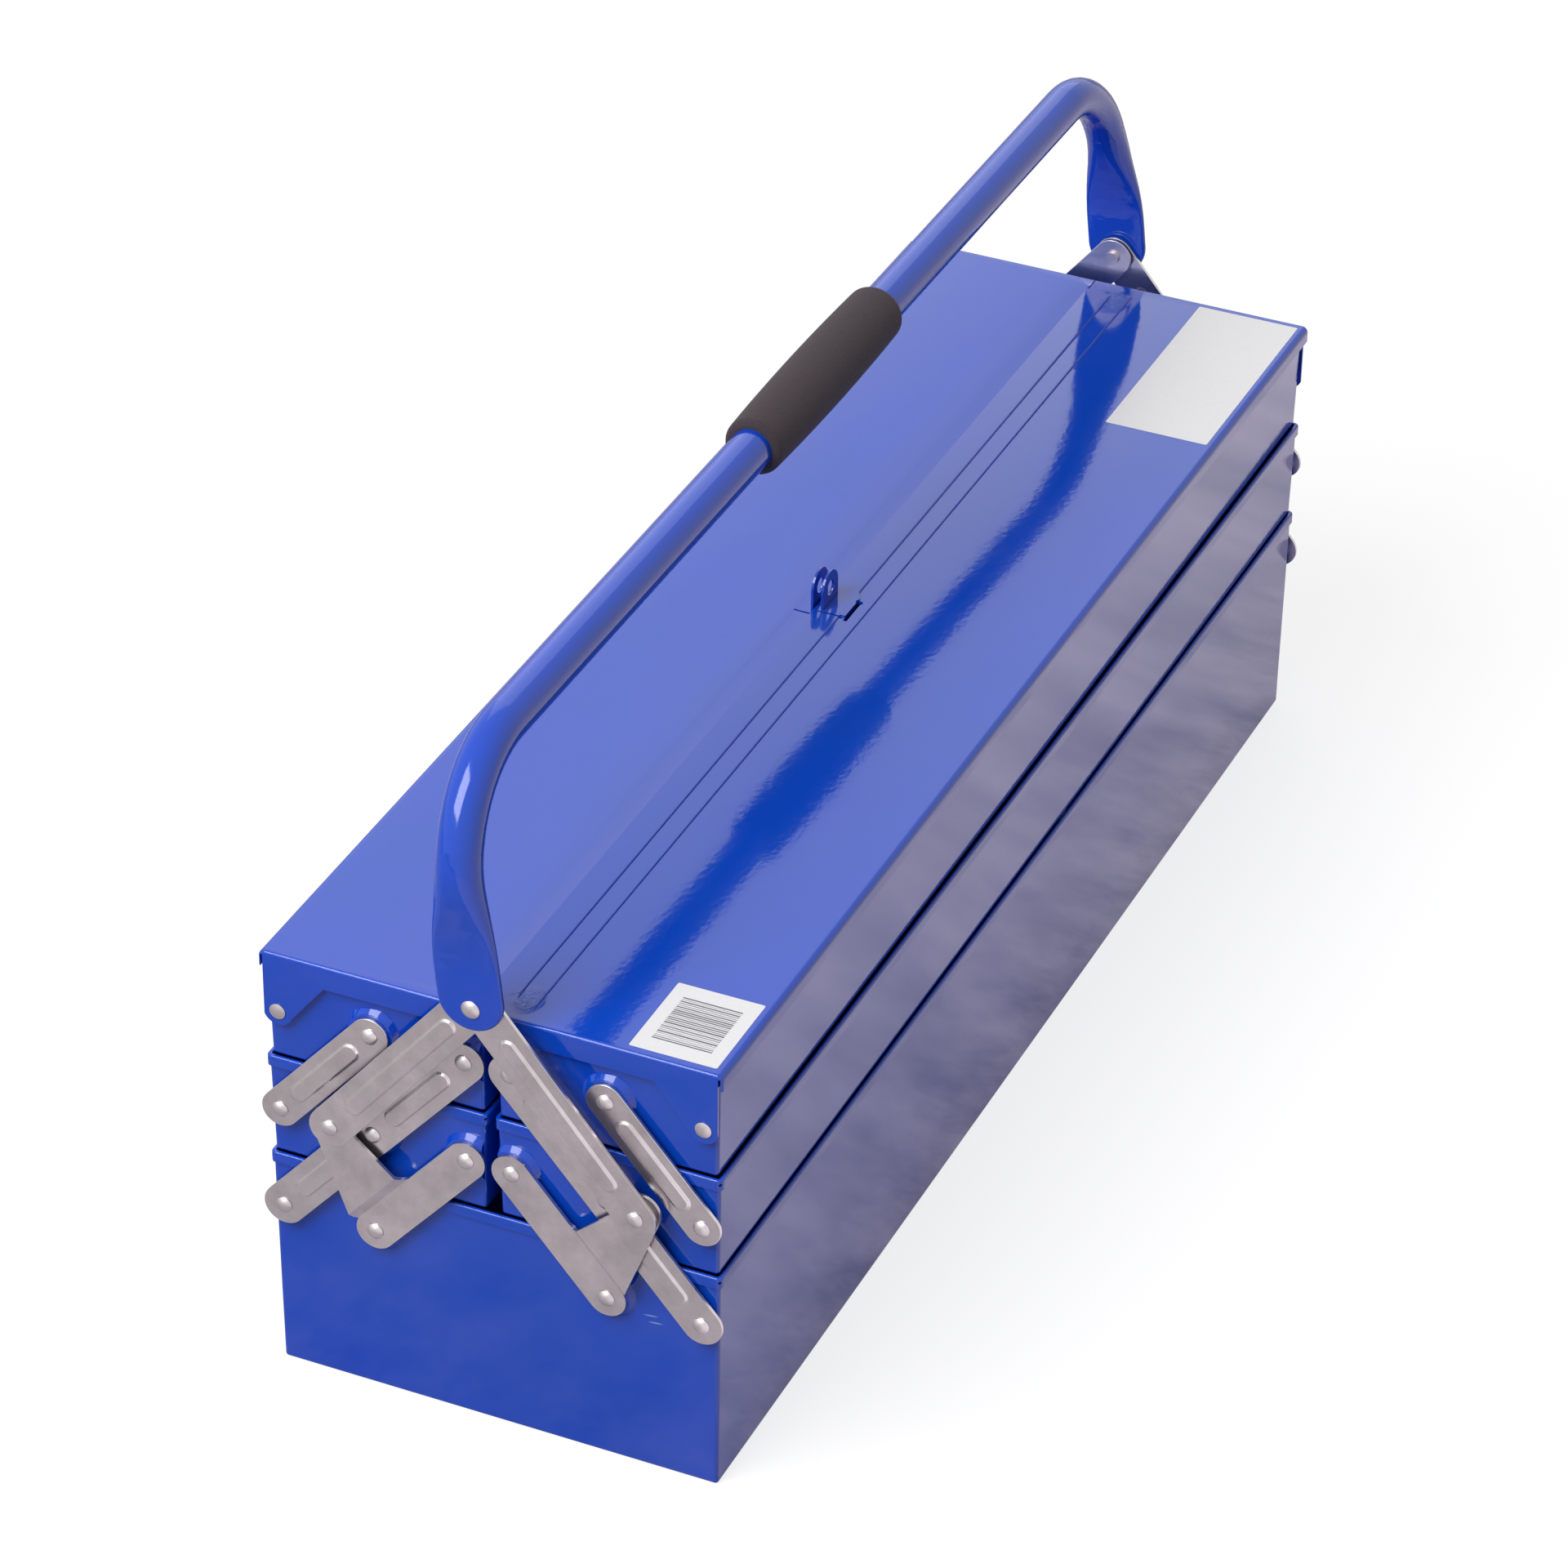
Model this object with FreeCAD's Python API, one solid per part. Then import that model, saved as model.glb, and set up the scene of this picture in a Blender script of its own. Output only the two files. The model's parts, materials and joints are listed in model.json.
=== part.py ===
import FreeCAD, Part
import math
import os

from FreeCAD import Vector

# Cantilever tool box of painted sheet steel: an open base, two middle trays and two
# top trays that fold out on riveted links, two hinged lids with padlock lugs, and a
# tubular carrying handle whose arms drive the links on both ends.
# Lengths are in millimetres. X runs along the box, Y across it, Z is up, and the
# origin is on the floor under the middle of the box. The near end is the -X end and
# the left side is +Y.

os.makedirs("parts", exist_ok=True)

# Box and sheet
box_length = 650.0
box_width = 200.0
base_height = 106.0
sheet = 1.0
wall_draft = 0.8
corner_radius = 1.6
centre_gap = 3.0
stack_gap = 0.3
top_tray_height = 48.9
top_tray_inset = 0.5

# Rolled rims
hem_height = 5.0
hem_thickness = 1.0
hem_round = 0.9
rim_inner_round = 0.7
hem_hole_radius = 0.75
hem_hole_drop = 2.2

# Pivot lattice on each end
pivot_pitch_z = 48.0
pivot_inset = 7.2
inner_pivot_line = 10.0
base_pivot_drop = 23.0
lid_pivot_drop = 25.2

# Pressed bosses under the pivots
boss_rise = 1.1
boss_top_radius = 9.5
boss_foot_radius = 11.8
small_boss_top_radius = 4.5
small_boss_foot_radius = 5.8
lid_boss_rise = 0.2
boss_edge = 0.3
boss_wall = 0.4

# Link plates and the layers that they lie in
layer_gap = 0.1
arm_gap = 0.2
link_thickness = 1.5
long_link_half_width = 9.0
short_link_half_width = 8.2
crank_half_width = 8.5
arm_half_width = 9.0
rib_half_width = 4.0
rib_rise = 1.0
rib_taper = 0.9
rib_skin = 1.1
link_rib_margin = 11.0
short_rib_margin = 9.5
arm_rib_margin_handle = 18.0
arm_rib_margin_crank = 14.0

# Crank plate: pin place, lobe outline and joggle, in the plate's own axes
crank_pin_along = 27.15
crank_pin_across = 45.07
crank_pin_boss_radius = 9.0
crank_notch_along = -1.7
crank_notch_across = 10.4
crank_window_along = 31.6
crank_window_across = 35.0
crank_window_radius = 3.0
crank_tip_share = -0.42
crank_joggle = 3.8
crank_ramp_run = 4.0
crank_ramp_start = 0.6
crank_bend_share = 0.4

# Rivets
rivet_shank_radius = 1.88
rivet_head_radius = 3.6
rivet_head_height = 1.9
rivet_head_rim = 0.3
rivet_tail_radius = 3.25
rivet_tail_height = 0.9
lid_head_radius = 3.5
lid_head_height = 1.2
seat_clearance = 0.02
running_clearance = 0.08

# Handle and the pivots that it hangs on
handle_pivot_z = 215.5
tube_radius = 9.2
handle_bar_rise = 98.7
handle_bend_radius = 50.0
handle_lean = 6.1
leg_set_in = 3.0
paddle_half_width = 14.25
paddle_thickness = 2.6
paddle_end_drop = 10.3
paddle_straight_top = 16.0
paddle_round_top = 68.0
paddle_corner_share = 0.96
tube_corner_share = 0.995
handle_shank_radius = 2.5
handle_head_radius = 4.0
handle_head_height = 2.0
handle_collar_radius = 6.0
stud_collar_radius = 5.0
stud_collar_height = 0.9
stud_tail_height = 1.7
spacer_radius = 6.0

# Grip
grip_radius = 14.0
grip_end_radius = 13.0
grip_round = 3.2
grip_start = -57.2
grip_end = 72.3

# Lids
lid_clearance = 1.2
lid_side_gap = 0.3
lid_outer_round = 3.0
lid_end_round = 1.5
lid_end_inner_round = 0.5
lid_side_depth = 7.4
lid_end_depth = 10.7
lid_slope_top = 21.0
lid_slope_foot_share = 0.36
lid_ear_radius = 6.5
lid_slit = 1.0
lid_slit_top = 1.8
left_lid_edge = 5.9
right_lid_edge = 5.3
lap_rise = 0.7
lap_end_inset = 7.0
lap_ramp = 4.0
lap_step_round = 0.5
lap_outer_line = 16.0
lap_inner_line = 7.0
lap_patch_line = 9.3
lap_patch_ramp = 5.0

# Padlock lugs and the cuts that they stand in
lug_start = -1.6
lug_width = 16.0
lug_rise = 16.5
lug_thickness = 1.0
lug_hole_radius = 3.5
lug_foot = 10.0
left_lug_foot = 6.0
left_step_drop = 0.6
left_step_low = 12.0
left_step_high = 17.5
right_lug_line = 1.2
lug_slot_clearance = 0.15
slit_width = 1.0
right_slit_start = 3.0
right_slit_end = 8.5
right_slit_line = 3.0
slot_width = 1.8
slot_line = 10.2
slot_start = 4.5
slot_end = 11.5
slot_hole_radius = 1.6
left_slit_length = 8.0
left_slit_line = 2.2

# Dividers spot-welded in the trays
divider_thickness = 0.8
divider_gap = 0.3
divider_foot = 9.0
divider_drop = 9.0
middle_divider_shares = (0.0,)
top_divider_shares = (-0.333, 0.333)

# One overrun serves every cut that passes through a face
overrun = 2.0

# Places that follow from the sizes above
half_length = box_length / 2
half_width = box_width / 2
middle_rim = base_height + pivot_pitch_z
middle_floor = base_height + stack_gap
top_floor = middle_rim + stack_gap
top_rim = top_floor + top_tray_height
tray_inner = centre_gap / 2
top_tray_outer = half_width - top_tray_inset

outer_y = half_width - pivot_inset
inner_y = inner_pivot_line
pivot_pitch_y = (outer_y - inner_y) / 2
middle_y = outer_y - pivot_pitch_y
base_row = base_height - base_pivot_drop
middle_row = base_row + pivot_pitch_z
top_row = middle_row + pivot_pitch_z
lid_row = top_rim - lid_pivot_drop

link_in = boss_rise + layer_gap
link_out = link_in + link_thickness
head_in = link_out + layer_gap
lobe_in = link_in + crank_joggle
lobe_out = lobe_in + link_thickness
left_arm_in = lobe_out + arm_gap
left_arm_out = left_arm_in + link_thickness
right_arm_in = left_arm_out + rib_rise + arm_gap
right_arm_out = right_arm_in + link_thickness
paddle_in = right_arm_out + rib_rise + arm_gap
paddle_out = paddle_in + paddle_thickness

# Unit directions of the links: along runs up a link, across is square to it
link_length = math.hypot(pivot_pitch_y, pivot_pitch_z)
along = (-pivot_pitch_y / link_length, pivot_pitch_z / link_length)
across = (pivot_pitch_z / link_length, pivot_pitch_y / link_length)


def near(d, y, z):
    # Point on the near end, d outside the plane of the rims
    return Vector(-(half_length + d), y, z)


def far_copy(shape):
    return shape.mirror(Vector(0, 0, 0), Vector(1, 0, 0))


def right_copy(shape):
    return shape.mirror(Vector(0, 0, 0), Vector(0, 1, 0))


def both_ends(shapes):
    return list(shapes) + [far_copy(s) for s in shapes]


def fused(first, rest):
    return first.fuse(rest).removeSplitter()


def box_between(x0, x1, y0, y1, z0, z1):
    return Part.makeBox(x1 - x0, y1 - y0, z1 - z0, Vector(x0, y0, z0))


def end_disc(y, z, radius, d0, d1):
    # Round bar along X between two depths on the near end
    return Part.makeCylinder(radius, d1 - d0, near(d0, y, z), Vector(-1, 0, 0))


# Sheet pans

def tapered_block(y0, y1, floor, rim, skin, low, high, radius):
    # Solid with sloping sides and rounded lower and upright edges
    wires = []
    for z in (low, high):
        inset = hem_thickness + skin + wall_draft * (rim - z) / (rim - floor)
        x = half_length - inset
        corners = [Vector(-x, y0 + inset, z), Vector(x, y0 + inset, z)]
        corners += [Vector(x, y1 - inset, z), Vector(-x, y1 - inset, z)]
        wires.append(Part.makePolygon(corners + corners[:1]))
    block = Part.makeLoft(wires, True, True)
    lower = [e for e in block.Edges if min(v.Z for v in e.Vertexes) < (low + high) / 2]
    return block.makeFillet(radius, lower)


def hem_ring(y0, y1, floor, rim):
    # Rolled band round the outside of the rim, with a small hole at each corner
    ring = box_between(-half_length, half_length, y0, y1, rim - hem_height, rim)
    upright = [e for e in ring.Edges if abs(e.Vertexes[0].Z - e.Vertexes[1].Z) > hem_height / 2]
    ring = ring.makeFillet(corner_radius + hem_thickness, upright)
    top_edges = [e for e in ring.Edges if min(v.Z for v in e.Vertexes) > rim - hem_height / 2]
    ring = ring.makeFillet(hem_round, top_edges)
    core = tapered_block(y0, y1, floor, rim, 0, floor, rim + overrun, corner_radius)
    ring = ring.cut(core)
    for sx in (-1, 1):
        for y, sy in ((y0, -1), (y1, 1)):
            out = Vector(sx, sy, 0).normalize()
            reach = corner_radius + hem_thickness + overrun
            start = Vector(sx * half_length, y, rim - hem_hole_drop) - out * reach
            ring = ring.cut(Part.makeCylinder(hem_hole_radius, reach + overrun, start, out))
    return ring


def boss(y, z, foot, top, rise, y_low, y_high, shift, slim):
    # Round pressed swelling on the near end wall, clipped where the wall ends
    root = -(hem_thickness + wall_draft)
    cone = Part.makeCone(foot - slim, top - slim, rise - root, near(root - shift, y, z), Vector(-1, 0, 0))
    plug = end_disc(y, z, foot - slim, root - shift - sheet, root - shift)
    body = cone.fuse(plug)
    reach = foot + overrun
    y_from = max(y - reach, y_low + slim)
    y_to = min(y + reach, y_high - slim)
    x_from = -(half_length + rise + overrun)
    x_to = -(half_length + root - shift - sheet - overrun)
    return body.common(box_between(x_from, x_to, y_from, y_to, z - reach, z + reach))


def pan(y0, y1, floor, rim, bosses):
    # Drawn sheet pan: walls, floor, bosses with their rivet holes, and rolled rim
    outer = tapered_block(y0, y1, floor, rim, 0, floor, rim, corner_radius)
    floor_radius = corner_radius - sheet
    inner = tapered_block(y0, y1, floor, rim, sheet, floor + sheet, rim + overrun, floor_radius)
    edge = hem_thickness + wall_draft + boss_edge
    raised = []
    hollow = []
    for y, z, foot, top, rise in bosses:
        raised.append(boss(y, z, foot, top, rise, y0 + edge, y1 - edge, 0, 0))
        inside = boss(y, z, foot, top, rise, y0 + edge, y1 - edge, sheet, boss_wall)
        hole = end_disc(y, z, rivet_shank_radius + seat_clearance, -(hem_thickness + wall_draft + sheet + overrun), rise + overrun)
        hollow.append(inside)
        hollow.append(hole)
    body = outer.fuse(both_ends(raised))
    body = body.cut(inner)
    inset = hem_thickness + sheet / 2
    inner_rim = []
    for e in body.Edges:
        inside = all(v.Z > rim - sheet / 2 and abs(v.X) < half_length - inset
                     and y0 + inset < v.Y < y1 - inset for v in e.Vertexes)
        if inside:
            inner_rim.append(e)
    body = body.makeFillet(rim_inner_round, inner_rim)
    body = body.cut(both_ends(hollow))
    return fused(body, [hem_ring(y0, y1, floor, rim)])


def big_boss(y, z):
    return (y, z, boss_foot_radius, boss_top_radius, boss_rise)


def small_boss(y, z, rise):
    return (y, z, small_boss_foot_radius, small_boss_top_radius, rise)


base_bosses = []
for side in (1, -1):
    base_bosses.append(big_boss(side * middle_y, base_row))
    base_bosses.append(small_boss(side * outer_y, base_row, boss_rise))
base_bin = pan(-half_width, half_width, 0, base_height, base_bosses)

middle_bosses = [big_boss(inner_y, middle_row), big_boss(middle_y, middle_row)]
middle_bosses.append(small_boss(outer_y, middle_row, boss_rise))
left_middle_tray = pan(tray_inner, half_width, middle_floor, middle_rim, middle_bosses)

top_bosses = [big_boss(inner_y, top_row), big_boss(middle_y, top_row)]
top_bosses.append(small_boss(outer_y, lid_row, lid_boss_rise))
left_top_tray = pan(tray_inner, top_tray_outer, top_floor, top_rim, top_bosses)


# Dividers: an upright plate with a turned foot, trimmed to the tray's inside

def dividers(y1, floor, rim, shares):
    plates = []
    for share in shares:
        x = share * box_length
        low = floor + sheet
        upright = box_between(x, x + divider_thickness, 0, y1, low, rim - divider_drop)
        foot = box_between(x, x + divider_foot, 0, y1, low, low + divider_thickness)
        profile = upright.fuse(foot).removeSplitter()
        bend = [e for e in profile.Edges if abs(e.Length - y1) < sheet
                and abs(e.CenterOfMass.x - x) < sheet / 4 and abs(e.CenterOfMass.z - low) < sheet / 4]
        profile = profile.makeFillet(divider_thickness, bend)
        skin = sheet + divider_gap
        room = tapered_block(tray_inner, y1, floor, rim, skin, low, rim, corner_radius)
        plates.append(profile.common(room))
    return Part.makeCompound(plates)


left_middle_dividers = dividers(half_width, middle_floor, middle_rim, middle_divider_shares)
left_top_dividers = dividers(top_tray_outer, top_floor, top_rim, top_divider_shares)


# Link plates

def stadium(p, q, radius, d):
    # Closed outline with round ends about p and q, given as (y, z)
    length = math.hypot(q[0] - p[0], q[1] - p[1])
    a = ((q[0] - p[0]) / length, (q[1] - p[1]) / length)
    s = (-a[1], a[0])

    def place(c, ka, ks):
        return near(d, c[0] + a[0] * ka + s[0] * ks, c[1] + a[1] * ka + s[1] * ks)

    edges = [Part.LineSegment(place(p, 0, radius), place(q, 0, radius)).toShape()]
    edges.append(Part.Arc(place(q, 0, radius), place(q, radius, 0), place(q, 0, -radius)).toShape())
    edges.append(Part.LineSegment(place(q, 0, -radius), place(p, 0, -radius)).toShape())
    edges.append(Part.Arc(place(p, 0, -radius), place(p, -radius, 0), place(p, 0, radius)).toShape())
    return Part.Wire(edges)


def between(p, q, distance):
    # Point at a distance from p towards q
    length = math.hypot(q[0] - p[0], q[1] - p[1])
    k = distance / length
    return (p[0] + (q[0] - p[0]) * k, p[1] + (q[1] - p[1]) * k)


def rib_form(p, q, half, d):
    lower = stadium(p, q, half, d)
    upper = stadium(p, q, half - rib_taper, d + rib_rise)
    return Part.makeLoft([lower, upper], True, True)


def link_plate(p, q, half, d_in, ribs, holes):
    # Flat strip with round ends, pressed ribs that are hollow behind, and round holes
    d_out = d_in + link_thickness
    plate = Part.Face(stadium(p, q, half, d_in)).extrude(Vector(-link_thickness, 0, 0))
    for start, end in ribs:
        a = between(start, end, rib_half_width)
        b = between(end, start, rib_half_width)
        plate = plate.fuse(rib_form(a, b, rib_half_width, d_out)).removeSplitter()
        plate = plate.cut(rib_form(a, b, rib_half_width - rib_skin, d_in))
    for c, radius in holes:
        plate = plate.cut(end_disc(c[0], c[1], radius, d_in - overrun, d_out + overrun))
    return plate


# Pivot places on the left side, as (y, z)
base_outer = (outer_y, base_row)
base_middle = (middle_y, base_row)
tray_outer_pin = (outer_y, middle_row)
tray_middle_pin = (middle_y, middle_row)
tray_inner_pin = (inner_y, middle_row)
top_middle_pin = (middle_y, top_row)
top_inner_pin = (inner_y, top_row)
lid_pin = (outer_y, lid_row)
crank_pin_y = base_middle[0] + crank_pin_along * along[0] + crank_pin_across * across[0]
crank_pin_z = base_middle[1] + crank_pin_along * along[1] + crank_pin_across * across[1]
crank_pin = (crank_pin_y, crank_pin_z)
handle_pin = (0, handle_pivot_z)

running_hole = rivet_shank_radius + running_clearance
seat_hole = rivet_shank_radius + seat_clearance

long_ribs = []
for low_pin, high_pin in ((base_outer, tray_middle_pin), (tray_middle_pin, top_inner_pin)):
    rib_low = between(low_pin, high_pin, link_rib_margin)
    rib_high = between(high_pin, low_pin, link_rib_margin)
    long_ribs.append((rib_low, rib_high))
long_holes = [(base_outer, running_hole), (tray_middle_pin, running_hole), (top_inner_pin, running_hole)]
long_link = link_plate(base_outer, top_inner_pin, long_link_half_width, link_in, long_ribs, long_holes)

short_rib_low = between(tray_outer_pin, top_middle_pin, short_rib_margin)
short_rib_high = between(top_middle_pin, tray_outer_pin, short_rib_margin)
short_holes = [(tray_outer_pin, running_hole), (top_middle_pin, running_hole)]
short_link = link_plate(tray_outer_pin, top_middle_pin, short_link_half_width, link_in,
                        [(short_rib_low, short_rib_high)], short_holes)


def handle_arm(d_in, upper_hole):
    rib_low = between(crank_pin, handle_pin, arm_rib_margin_crank)
    rib_high = between(handle_pin, crank_pin, arm_rib_margin_handle)
    holes = [(crank_pin, running_hole), (handle_pin, upper_hole)]
    return link_plate(crank_pin, handle_pin, arm_half_width, d_in, [(rib_low, rib_high)], holes)


left_arm = handle_arm(left_arm_in, handle_shank_radius + seat_clearance)
right_arm = right_copy(handle_arm(right_arm_in, handle_shank_radius + running_clearance))


# Crank plate: a strip on two rivets with a lobe that is joggled outwards and carries
# the handle arm's pin clear of the long link

def crank_point(u, v, d):
    # Place in the plate's own axes, along and across the strip from its lower pivot
    y = base_middle[0] + u * along[0] + v * across[0]
    z = base_middle[1] + u * along[1] + v * across[1]
    return near(d, y, z)


def crank_section():
    # Bent sheet seen along the strip, swept over the whole plate
    ramp_in = crank_half_width + crank_ramp_start
    ramp_out = ramp_in + crank_ramp_run
    angle = math.atan2(crank_joggle, crank_ramp_run)
    shift = link_thickness * math.tan(angle / 2)
    v_low = -crank_half_width - overrun
    v_high = crank_pin_across + crank_pin_boss_radius + overrun
    profile = [(v_low, link_in), (ramp_in, link_in), (ramp_out, lobe_in), (v_high, lobe_in)]
    profile += [(v_high, lobe_out), (ramp_out - shift, lobe_out)]
    profile += [(ramp_in - shift, link_out), (v_low, link_out)]
    u_start = -crank_half_width - overrun
    u_end = link_length + crank_half_width + overrun
    points = [crank_point(u_start, v, d) for v, d in profile]
    face = Part.Face(Part.makePolygon(points + points[:1]))
    length = u_end - u_start
    bent = face.extrude(Vector(0, along[0] * length, along[1] * length))
    bends = []
    for v, d in ((ramp_in, link_in), (ramp_out, lobe_in), (ramp_out - shift, lobe_out), (ramp_in - shift, link_out)):
        spot = crank_point((u_start + u_end) / 2, v, d)
        bends += [e for e in bent.Edges if e.CenterOfMass.distanceToPoint(spot) < sheet / 4]
    return bent.makeFillet(link_thickness * crank_bend_share, bends)


def crank_outline():
    # Outline of the lobe: a straight outer edge tangent to the pin's boss, the boss
    # itself, and the edge of the open window beside the strip
    pin = (crank_pin_along, crank_pin_across)
    notch = (crank_notch_along, crank_notch_across)
    reach = math.hypot(pin[0] - notch[0], pin[1] - notch[1])
    bearing = math.atan2(pin[1] - notch[1], pin[0] - notch[0])
    swing = math.asin(crank_pin_boss_radius / reach)
    tangent_bearing = bearing + swing
    normal = tangent_bearing + math.pi / 2
    first = (pin[0] + crank_pin_boss_radius * math.cos(normal), pin[1] + crank_pin_boss_radius * math.sin(normal))
    tip_angle = crank_tip_share
    last = (pin[0] + crank_pin_boss_radius * math.cos(tip_angle), pin[1] + crank_pin_boss_radius * math.sin(tip_angle))
    crown_angle = (normal + tip_angle) / 2
    crown = (pin[0] + crank_pin_boss_radius * math.cos(crown_angle), pin[1] + crank_pin_boss_radius * math.sin(crown_angle))
    d = link_in - overrun
    outline = [(crank_notch_along, 0), notch, first]
    closing = [last, (crank_window_along, crank_window_across), (crank_window_along, 0), (crank_notch_along, 0)]
    edges = []
    for a, b in zip(outline, outline[1:]):
        edges.append(Part.LineSegment(crank_point(a[0], a[1], d), crank_point(b[0], b[1], d)).toShape())
    arc_points = [crank_point(c[0], c[1], d) for c in (first, crown, last)]
    edges.append(Part.Arc(arc_points[0], arc_points[1], arc_points[2]).toShape())
    for a, b in zip(closing, closing[1:]):
        edges.append(Part.LineSegment(crank_point(a[0], a[1], d), crank_point(b[0], b[1], d)).toShape())
    depth = lobe_out - link_in + overrun * 2
    lobe = Part.Face(Part.Wire(edges)).extrude(Vector(-depth, 0, 0))
    strip_outline = stadium(base_middle, tray_inner_pin, crank_half_width, d)
    strip = Part.Face(strip_outline).extrude(Vector(-depth, 0, 0))
    shape = strip.fuse(lobe).removeSplitter()
    corners = []
    for u, v in ((crank_window_along, crank_half_width), (crank_window_along, crank_window_across)):
        spot = crank_point(u, v, d + depth / 2)
        corners += [e for e in shape.Edges if e.CenterOfMass.distanceToPoint(spot) < sheet / 4]
    return shape.makeFillet(crank_window_radius, corners)


crank_plate = crank_section().common(crank_outline())
for spot, radius in ((base_middle, running_hole), (tray_inner_pin, running_hole), (crank_pin, seat_hole)):
    crank_plate = crank_plate.cut(end_disc(spot[0], spot[1], radius, 0, lobe_out + overrun))


# Rivets, turned about their own axes

def turned(c, outline):
    # Revolve (radius, depth) points about the pivot c; a third value makes a dome
    points = [near(d, c[0] + r, c[1]) for r, d in outline[:-1]]
    rim = points[-1]
    radius, depth = outline[-2]
    crest = outline[-1]
    rise = crest - depth
    ball = (radius * radius + rise * rise) / (2 * rise)
    half = math.asin(min(1.0, radius / ball)) / 2
    mid = near(crest - ball + ball * math.cos(half), c[0] + ball * math.sin(half), c[1])
    top = near(crest, c[0], c[1])
    edges = [Part.LineSegment(a, b).toShape() for a, b in zip(points, points[1:])]
    edges.append(Part.Arc(rim, mid, top).toShape())
    edges.append(Part.LineSegment(top, points[0]).toShape())
    face = Part.Face(Part.Wire(edges))
    return face.revolve(near(0, c[0], c[1]), Vector(1, 0, 0), 360)


def rivet(c, tail_seat, head_seat, shank, tail, tail_height, head, head_height):
    outline = [(0, tail_seat - tail_height), (tail, tail_seat - tail_height), (tail, tail_seat)]
    outline += [(shank, tail_seat), (shank, head_seat), (head, head_seat)]
    outline += [(head, head_seat + rivet_head_rim), head_seat + head_height]
    return turned(c, outline)


def link_rivet(c, seat=boss_rise - sheet, head_seat=head_in):
    return rivet(c, seat, head_seat, rivet_shank_radius, rivet_tail_radius, rivet_tail_height,
                 rivet_head_radius, rivet_head_height)


base_link_rivets = both_ends([link_rivet(base_outer), link_rivet(base_middle)])
base_link_rivets += [right_copy(s) for s in base_link_rivets]
middle_rivets = both_ends([link_rivet(c) for c in (tray_outer_pin, tray_middle_pin, tray_inner_pin)])
top_rivets = both_ends([link_rivet(c) for c in (top_middle_pin, top_inner_pin)])

lid_end_in = lid_side_gap
lid_end_out = lid_end_in + sheet
lid_rivet = rivet(lid_pin, lid_boss_rise - sheet, lid_end_out + layer_gap, rivet_shank_radius,
                  rivet_tail_radius, rivet_tail_height, lid_head_radius, lid_head_height)
lid_rivets = both_ends([lid_rivet])

left_crank_rivet = link_rivet(crank_pin, lobe_in, left_arm_out + layer_gap)
right_crank_rivet = right_copy(link_rivet(crank_pin, lobe_in, right_arm_out + layer_gap))

spacer_end = right_arm_in - layer_gap / 2
spacer = end_disc(crank_pin[0], crank_pin[1], spacer_radius, lobe_out, spacer_end)
spacer = spacer.cut(end_disc(crank_pin[0], crank_pin[1], seat_hole, 0, right_arm_in + overrun))
right_spacer = right_copy(spacer)

# The handle's own pivot: a collar in front of the right arm, and a domed head
collar_in = right_arm_out + layer_gap
collar_out = paddle_in - layer_gap
pivot_outline = [(0, collar_in), (handle_collar_radius, collar_in), (handle_collar_radius, collar_out)]
pivot_outline += [(handle_shank_radius, collar_out), (handle_shank_radius, paddle_out + layer_gap)]
pivot_outline += [(handle_head_radius, paddle_out + layer_gap)]
pivot_outline += [(handle_head_radius, paddle_out + layer_gap + rivet_head_rim)]
pivot_outline += [paddle_out + layer_gap + handle_head_height]
handle_pivot = turned(handle_pin, pivot_outline)

# The stud in the left arm's upper end, crimped behind it
stud_outline = [(0, left_arm_in - stud_tail_height), (rivet_tail_radius, left_arm_in - stud_tail_height)]
stud_outline += [(rivet_tail_radius, left_arm_in), (handle_shank_radius, left_arm_in)]
stud_outline += [(handle_shank_radius, left_arm_out), (stud_collar_radius, left_arm_out)]
stud_outline += [(stud_collar_radius, left_arm_out + rivet_head_rim), left_arm_out + stud_collar_height]
arm_stud = turned(handle_pin, stud_outline)


# Lids

lid_top = top_rim + lid_clearance + sheet
lid_under = lid_top - sheet
lid_outer_y = top_tray_outer + lid_side_gap + sheet


def lid_block(y_edge, skin, side_round, end_round):
    # Block under the lid's skin, rounded along its outer edge and its two ends
    x = half_length + lid_side_gap + sheet - skin
    z_low = lid_row - lid_ear_radius - overrun
    block = box_between(-x, x, y_edge, lid_outer_y - skin, z_low, lid_top - skin)
    long_edge = []
    end_edges = []
    for e in block.Edges:
        if min(v.Z for v in e.Vertexes) > lid_top - skin - sheet / 2:
            if e.CenterOfMass.y > lid_outer_y - skin - sheet / 2:
                long_edge.append(e)
            elif abs(e.CenterOfMass.x) > x - sheet / 2:
                end_edges.append(e)
    block = block.makeFillet(side_round, long_edge)
    end_edges = [e for e in block.Edges if min(v.Z for v in e.Vertexes) > lid_top - skin - sheet / 2
                 and abs(e.CenterOfMass.x) > x - sheet / 2]
    return block.makeFillet(end_round, end_edges)


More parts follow.
